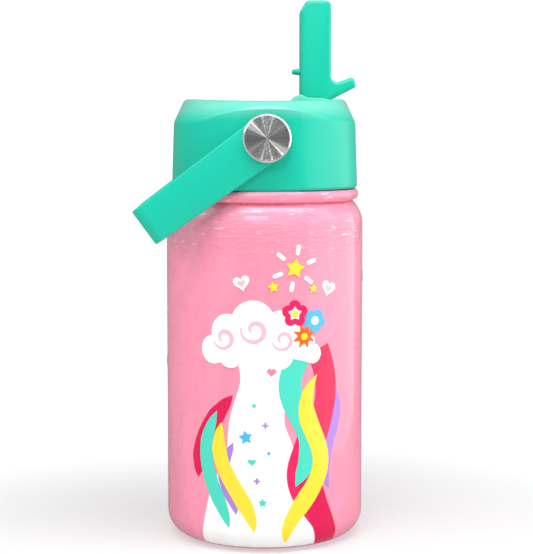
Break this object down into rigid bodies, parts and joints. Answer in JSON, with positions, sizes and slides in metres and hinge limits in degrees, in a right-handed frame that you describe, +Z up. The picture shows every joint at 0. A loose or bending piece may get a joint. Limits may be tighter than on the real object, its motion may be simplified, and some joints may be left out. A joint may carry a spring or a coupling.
{
  "type": "kids water bottle",
  "caption": "Insulated steel kids' bottle with a screw lid, flip-up straw spout, finger lever and a swinging carry handle.",
  "frame": {"origin": "centre of the base, on the plane that the bottle stands on", "axes": "+Z up along the bottle's axis; -Y and +Y towards the two metal buttons; the spout stands on the +X side and the handle hangs towards -X"},
  "size_m": [0.0838, 0.0764, 0.1976],
  "materials": {
    "painted_shell": "glossy pink powder coat",
    "liner_steel": "satin stainless steel",
    "base_steel": "satin stainless steel",
    "sealing_glass": "dark sealing glass",
    "getter_metal": "dull grey metal",
    "clear_silicone": "translucent silicone",
    "green_plastic": "satin polypropylene",
    "insert_plastic": "natural polypropylene",
    "valve_silicone": "soft silicone",
    "seal_silicone": "soft silicone",
    "stem_plastic": "natural polypropylene",
    "ring_silicone": "soft silicone",
    "straw_plastic": "frosted tube",
    "pin_steel": "turned steel",
    "brass_front": "knurled brass",
    "brass_back": "knurled brass",
    "post_steel_front": "turned steel",
    "post_steel_back": "turned steel",
    "washer_plastic_front": "slippery plastic",
    "washer_plastic_back": "slippery plastic",
    "cap_steel_front": "spun steel with a polished edge",
    "cap_steel_back": "spun steel with a polished edge",
    "spout_plastic": "satin polypropylene",
    "handle_plastic": "satin polypropylene"
  },
  "bodies": {
    "bottle": {"outer_shell": "painted_shell", "inner_liner": "liner_steel", "base_plate": "base_steel", "vacuum_bead": "sealing_glass", "getter_cup": "getter_metal"},
    "gasket": {"lid_gasket": "clear_silicone"},
    "lid": {"lid_shell": "green_plastic", "lid_insert": "insert_plastic", "vent_valve": "valve_silicone", "spout_seal": "seal_silicone", "straw_stem": "stem_plastic", "stem_ring": "ring_silicone", "straw": "straw_plastic", "spout_pins": "pin_steel", "insert_front": "brass_front", "insert_back": "brass_back", "post_front": "post_steel_front", "post_back": "post_steel_back", "washer_front": "washer_plastic_front", "washer_back": "washer_plastic_back", "cap_front": "cap_steel_front", "cap_back": "cap_steel_back"},
    "spout": {"spout": "spout_plastic"},
    "handle": {"handle": "handle_plastic"}
  },
  "joints": [
    {"name": "lid_lift", "type": "slide", "parent": "bottle", "child": "gasket", "axis": [0, 0, 1], "range_m": [0, 0.15]},
    {"name": "lid_turn", "type": "hinge", "parent": "gasket", "child": "lid", "pos_m": [0, 0, 0.14], "axis": [0, 0, 1], "range_deg": [0, 540]},
    {"name": "spout_flip", "type": "hinge", "parent": "lid", "child": "spout", "pos_m": [0.01865, 0, 0.1553], "axis": [0, -1, 0], "range_deg": [0, 90]},
    {"name": "handle_swing", "type": "hinge", "parent": "lid", "child": "handle", "pos_m": [0, 0, 0.1476], "axis": [0, 1, 0], "range_deg": [0, 126]}
  ]
}
